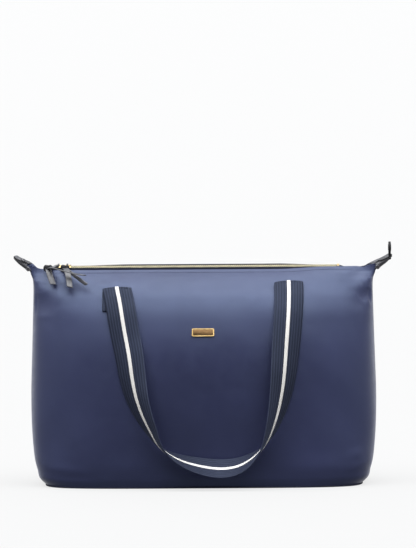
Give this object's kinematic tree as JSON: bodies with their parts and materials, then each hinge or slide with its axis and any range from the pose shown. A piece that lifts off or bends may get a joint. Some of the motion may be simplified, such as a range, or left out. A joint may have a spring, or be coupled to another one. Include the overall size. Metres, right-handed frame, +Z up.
{
  "type": "foldable tote bag",
  "caption": "Upright nylon travel tote with a zip top, two webbing handles that hang front and back, leather end tabs, laced zip pulls and an inner slip pocket.",
  "frame": {"origin": "middle of the bag's footprint, on the surface that it stands on", "axes": "+Z up, +X to the right seen from the front, the front faces -Y"},
  "size_m": [0.5018, 0.235, 0.3175],
  "materials": {
    "nylon": "satin",
    "lining": "matte",
    "webbing": "matte",
    "white_stripe": "matte",
    "zip_tape": "matte",
    "zip_teeth": "satin",
    "slider_metal": "gloss",
    "leather": "satin",
    "badge_metal": "satin",
    "snap_metal": "satin"
  },
  "bodies": {
    "root": {"front_panel": "nylon", "back_panel": "nylon", "base_panel": "nylon", "base_seam_binding": "lining", "left_seam_binding": "lining", "right_seam_binding": "lining", "front_zip_tape": "zip_tape", "back_zip_tape": "zip_tape", "front_zip_teeth": "zip_teeth", "back_zip_teeth": "zip_teeth", "left_zip_stop": "slider_metal", "right_zip_stop": "slider_metal", "left_end_tab": "leather", "right_end_tab": "leather", "front_left_anchor": "webbing", "front_right_anchor": "webbing", "back_left_anchor": "webbing", "back_right_anchor": "webbing", "front_left_backing": "lining", "front_right_backing": "lining", "back_left_backing": "lining", "back_right_backing": "lining", "badge_plate": "badge_metal", "badge_backing": "badge_metal", "inner_pocket": "lining", "pocket_hem": "webbing", "snap_stud": "snap_metal"},
    "front_handle": {"front_handle_webbing": "webbing", "front_handle_outer_stripe": "white_stripe", "front_handle_inner_stripe": "white_stripe"},
    "back_handle": {"back_handle_webbing": "webbing", "back_handle_outer_stripe": "white_stripe", "back_handle_inner_stripe": "white_stripe"},
    "left_zip_slider": {"left_slider": "slider_metal"},
    "right_zip_slider": {"right_slider": "slider_metal"},
    "left_lace": {"left_pull_lace": "leather"},
    "right_lace": {"right_pull_lace": "leather"},
    "tongue": {"snap_tongue": "leather", "snap_cap": "snap_metal", "snap_socket": "snap_metal"}
  },
  "joints": [
    {"name": "front_handle_swing", "type": "hinge", "parent": "root", "child": "front_handle", "pos_m": [0, -0.03234, 0.26148], "axis": [-0.9992, -0.0252, -0.0297], "range_deg": [0, 165]},
    {"name": "back_handle_swing", "type": "hinge", "parent": "root", "child": "back_handle", "pos_m": [0, 0.03402, 0.26123], "axis": [0.9994, 0.0199, -0.0294], "range_deg": [0, 165]},
    {"name": "left_slider_slide", "type": "slide", "parent": "root", "child": "left_zip_slider", "axis": [-1, 0, 0], "range_m": [0, 0.006]},
    {"name": "right_slider_slide", "type": "slide", "parent": "root", "child": "right_zip_slider", "axis": [1, 0, 0], "range_m": [0, 0.348]},
    {"name": "left_lace_lift", "type": "hinge", "parent": "left_zip_slider", "child": "left_lace", "pos_m": [-0.18951, -0.00248, 0.29057], "axis": [-1, 0, 0], "range_deg": [0, 75]},
    {"name": "right_lace_swivel", "type": "hinge", "parent": "right_zip_slider", "child": "right_lace", "pos_m": [-0.17801, -0.00248, 0.29057], "axis": [0, -0.9135, -0.4067], "range_deg": [-8, 4]},
    {"name": "tongue_bend", "type": "hinge", "parent": "root", "child": "tongue", "pos_m": [0.2402, -0.00175, 0.29953], "axis": [0, 0.9135, 0.4067], "range_deg": [-40, 50]}
  ]
}
